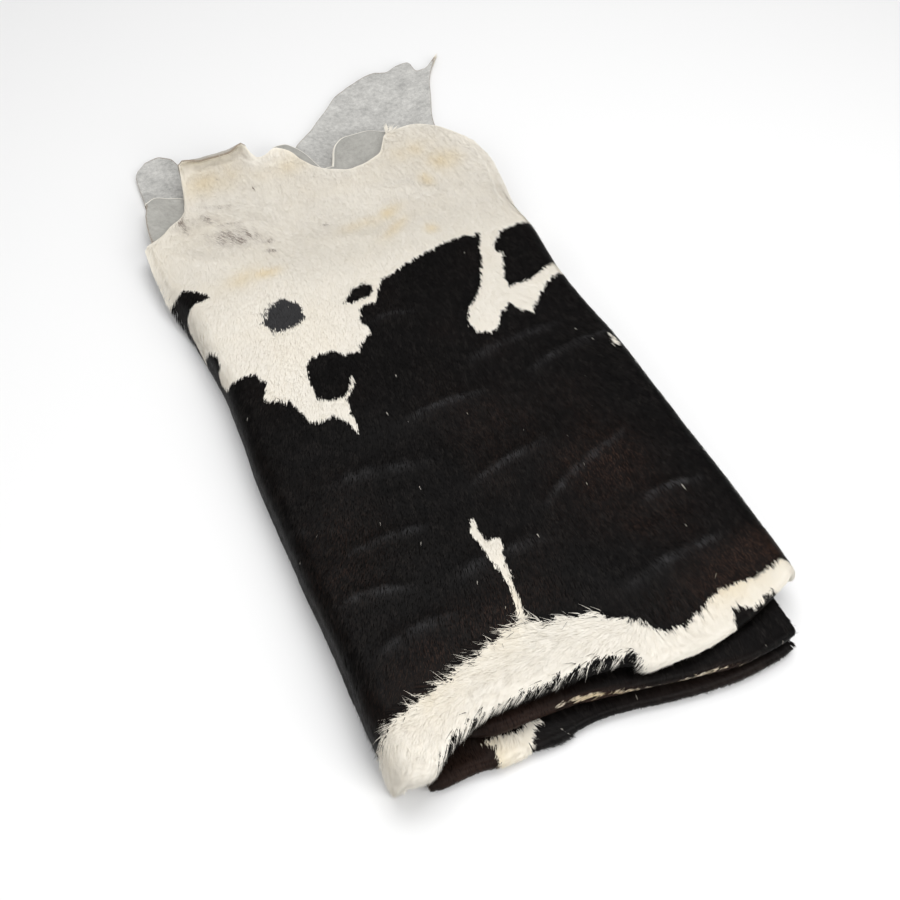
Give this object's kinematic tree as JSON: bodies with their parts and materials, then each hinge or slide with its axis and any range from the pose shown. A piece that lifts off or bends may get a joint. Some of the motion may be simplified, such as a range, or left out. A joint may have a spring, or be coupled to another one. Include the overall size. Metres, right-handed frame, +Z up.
{
  "type": "folded cowhide rug",
  "caption": "Whole black and white cowhide with the hair on, folded back and forth into a long flat bundle, loops at one end and raw grey-backed edges at the other.",
  "frame": {"origin": "on the surface that the bundle lies on, under the middle of its bounding box", "axes": "+Z up, +Y along the bundle from its folded end with the loops to its far end with the raw edges and flaps, +X across it to the right"},
  "size_m": [0.5822, 1.201, 0.07],
  "materials": {
    "hide": "matt grey suede flesh side with raw edges",
    "black_hair": "short lying black hair with a low sheen and brown tips",
    "white_hair": "short lying cream-white hair, longer at the folds"
  },
  "bodies": {
    "root": {"hide": "hide"}
  },
  "joints": []
}
